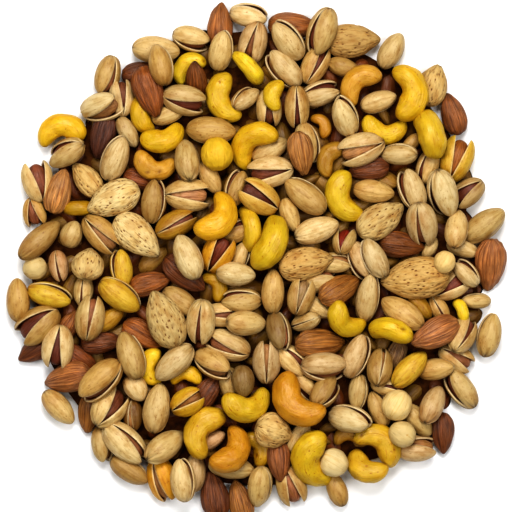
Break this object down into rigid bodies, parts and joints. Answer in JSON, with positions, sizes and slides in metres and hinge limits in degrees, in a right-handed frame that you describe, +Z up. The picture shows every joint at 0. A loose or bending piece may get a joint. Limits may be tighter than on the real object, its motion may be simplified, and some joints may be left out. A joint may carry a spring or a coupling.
{
  "type": "heap of mixed nuts",
  "caption": "Round, flat heap of pistachios, almonds, cashews and hazelnuts lying loose on a flat surface, with an uneven outline.",
  "frame": {"origin": "middle of the heap's bounding box, on the surface that it lies on", "axes": "+Z up, +X to the right and +Y to the back as the picture shows the heap from straight above"},
  "size_m": [0.2513, 0.2611, 0.03],
  "materials": {
    "nuts": "satin shells and kernels, from pale tan pistachio to brown almond and yellow cashew"
  },
  "bodies": {
    "root": {"nut_heap": "nuts"}
  },
  "joints": []
}
